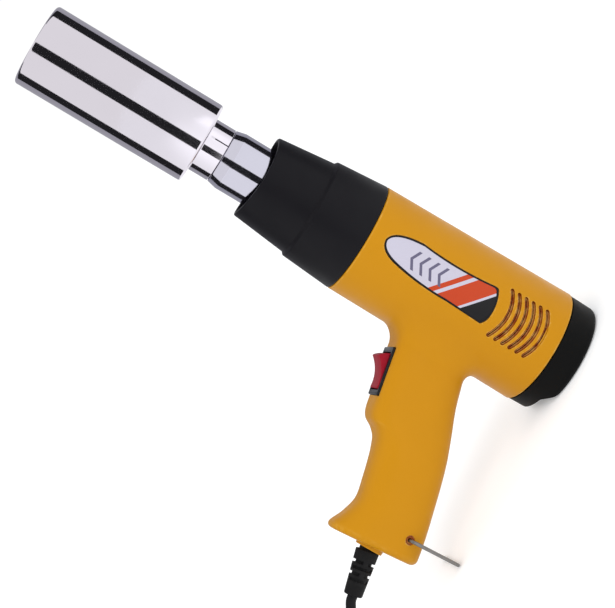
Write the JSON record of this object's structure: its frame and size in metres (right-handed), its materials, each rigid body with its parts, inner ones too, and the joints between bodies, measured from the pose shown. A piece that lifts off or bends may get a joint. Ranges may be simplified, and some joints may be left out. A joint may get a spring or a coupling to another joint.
{
  "type": "hot air tool",
  "caption": "Pistol-grip heat gun that stands on its rear cap, with a motor and fan, a mica heater, a polished outlet tube, a wide push-on nozzle, a rocker switch and a mains lead.",
  "frame": {"origin": "centre of the standing face of the rear cap, on the axis of the barrel", "axes": "+Z along the barrel towards the nozzle, -X towards the grip and the cord, -Y towards the side with the plate"},
  "size_m": [0.3732, 0.1011, 0.3806],
  "materials": {
    "shell": "satin moulded",
    "black_moulding": "fine texture",
    "plate": "smooth film",
    "rocker": "glossy",
    "polished_steel": "polished",
    "wire": "drawn wire",
    "rubber": "matt",
    "cord": "matt",
    "tie": "matt",
    "brass": "plain",
    "screw": "zinc plated",
    "motor_steel": "plain",
    "magnet": "matt",
    "grey_moulding": "matt",
    "mica": "pressed sheet",
    "element": "dull wire",
    "board": "lacquered",
    "lead": "matt"
  },
  "bodies": {
    "housing": {"housing_left": "shell", "housing_right": "shell", "badge_plate": "plate", "rear_cap": "black_moulding", "nose_shroud": "black_moulding", "heater_tube": "polished_steel", "switch_frame": "black_moulding", "switch_terminal_in": "brass", "switch_terminal_out": "brass", "strain_relief": "rubber", "power_cord": "cord", "cord_coil": "cord", "cord_tail": "cord", "coil_tie": "tie", "plug_body": "rubber", "plug_pin_live": "brass", "plug_pin_neutral": "brass", "motor_can": "motor_steel", "motor_end_cap": "grey_moulding", "motor_magnet_upper": "magnet", "motor_magnet_lower": "magnet", "fan_duct": "grey_moulding", "flow_straightener": "grey_moulding", "motor_screw_1": "screw", "motor_screw_2": "screw", "rectifier_board": "board", "mica_board_flat": "mica", "mica_board_upright": "mica", "mica_sleeve": "mica", "heating_coil": "element", "thermal_cutout": "motor_steel", "cord_in_grip": "cord", "cord_clamp": "grey_moulding", "cord_clamp_screw_1": "screw", "cord_clamp_screw_2": "screw", "lead_live": "lead", "lead_neutral": "lead", "lead_to_heater": "lead", "housing_screw_1": "screw", "housing_screw_2": "screw", "housing_screw_3": "screw", "housing_screw_4": "screw", "housing_screw_5": "screw", "housing_screw_6": "screw"},
    "rocker": {"switch_rocker": "rocker"},
    "fan": {"armature": "motor_steel", "fan_impeller": "grey_moulding"},
    "bail": {"bail": "wire"},
    "nozzle": {"nozzle": "polished_steel"}
  },
  "joints": [
    {"name": "rocker_pivot", "type": "hinge", "parent": "housing", "child": "rocker", "pos_m": [-0.06376, 0, 0.09783], "axis": [0, 1, 0], "range_deg": [0, 26]},
    {"name": "fan_spin", "type": "hinge", "parent": "housing", "child": "fan", "pos_m": [0, 0, 0.068], "axis": [0, 0, 1], "continuous": true},
    {"name": "bail_pivot", "type": "hinge", "parent": "housing", "child": "bail", "pos_m": [-0.1464, 0, 0.0358], "axis": [0, 1, 0], "range_deg": [-74, 85]},
    {"name": "nozzle_slide", "type": "slide", "parent": "housing", "child": "nozzle", "axis": [0, 0, 1], "range_m": [0, 0.012]}
  ]
}
